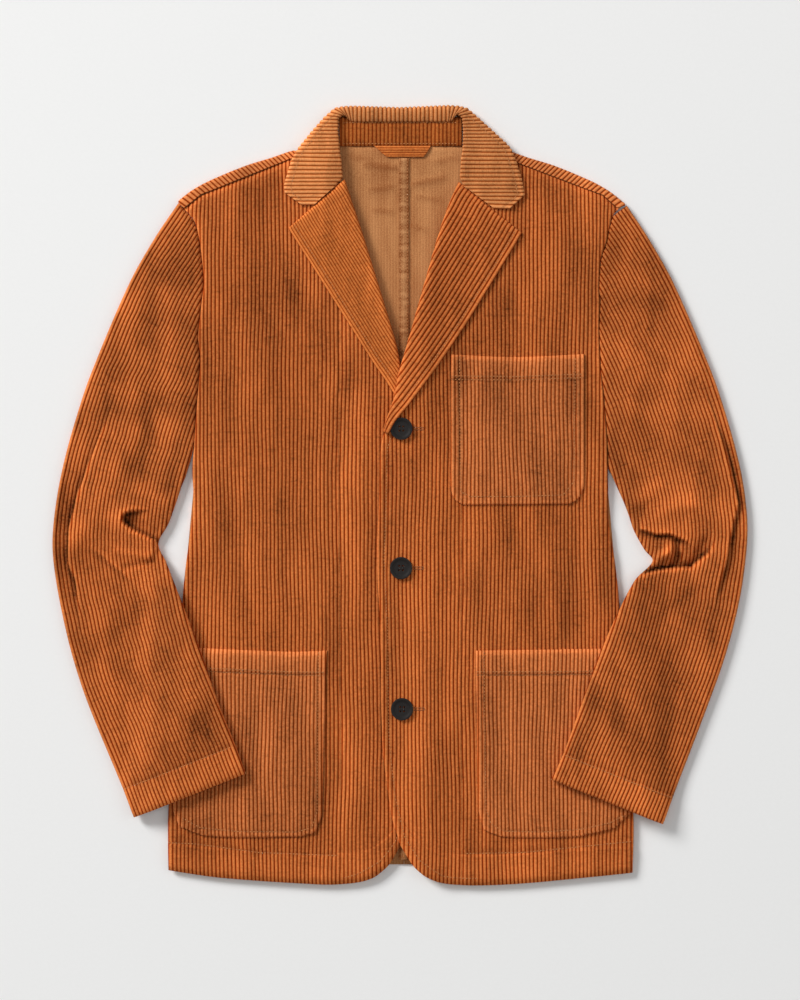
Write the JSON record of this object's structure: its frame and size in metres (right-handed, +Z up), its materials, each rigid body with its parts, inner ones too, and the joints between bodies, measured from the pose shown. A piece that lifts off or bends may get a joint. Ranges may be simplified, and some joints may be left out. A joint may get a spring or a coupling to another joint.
{
  "type": "corduroy jacket",
  "caption": "Single-breasted corduroy jacket laid flat and buttoned, with notched lapels, a turned-down collar, long sleeves, patch pockets and a hanger loop.",
  "frame": {"origin": "centre of the garment's outline, on the surface it lies on", "axes": "+X to the wearer's left, which is the right of someone looking down at it, +Y towards the collar, +Z up from the surface"},
  "size_m": [0.696, 0.7805, 0.0193],
  "materials": {
    "corduroy": "ribbed cotton pile, matt with a soft sheen",
    "cloth_inside": "plain inside of the cloth, matt",
    "button": "satin, like horn"
  },
  "bodies": {
    "root": {"right_front": "corduroy", "left_front": "corduroy", "back_right": "cloth_inside", "back_left": "cloth_inside", "centre_back_seam": "cloth_inside", "chest_pocket": "corduroy", "right_pocket": "corduroy", "left_pocket": "corduroy", "right_lapel": "corduroy", "left_lapel": "corduroy", "collar": "corduroy", "collar_stand": "corduroy", "hanger_loop": "corduroy", "right_sleeve": "corduroy", "left_sleeve": "corduroy", "button_1": "button", "button_2": "button", "button_3": "button"}
  },
  "joints": []
}
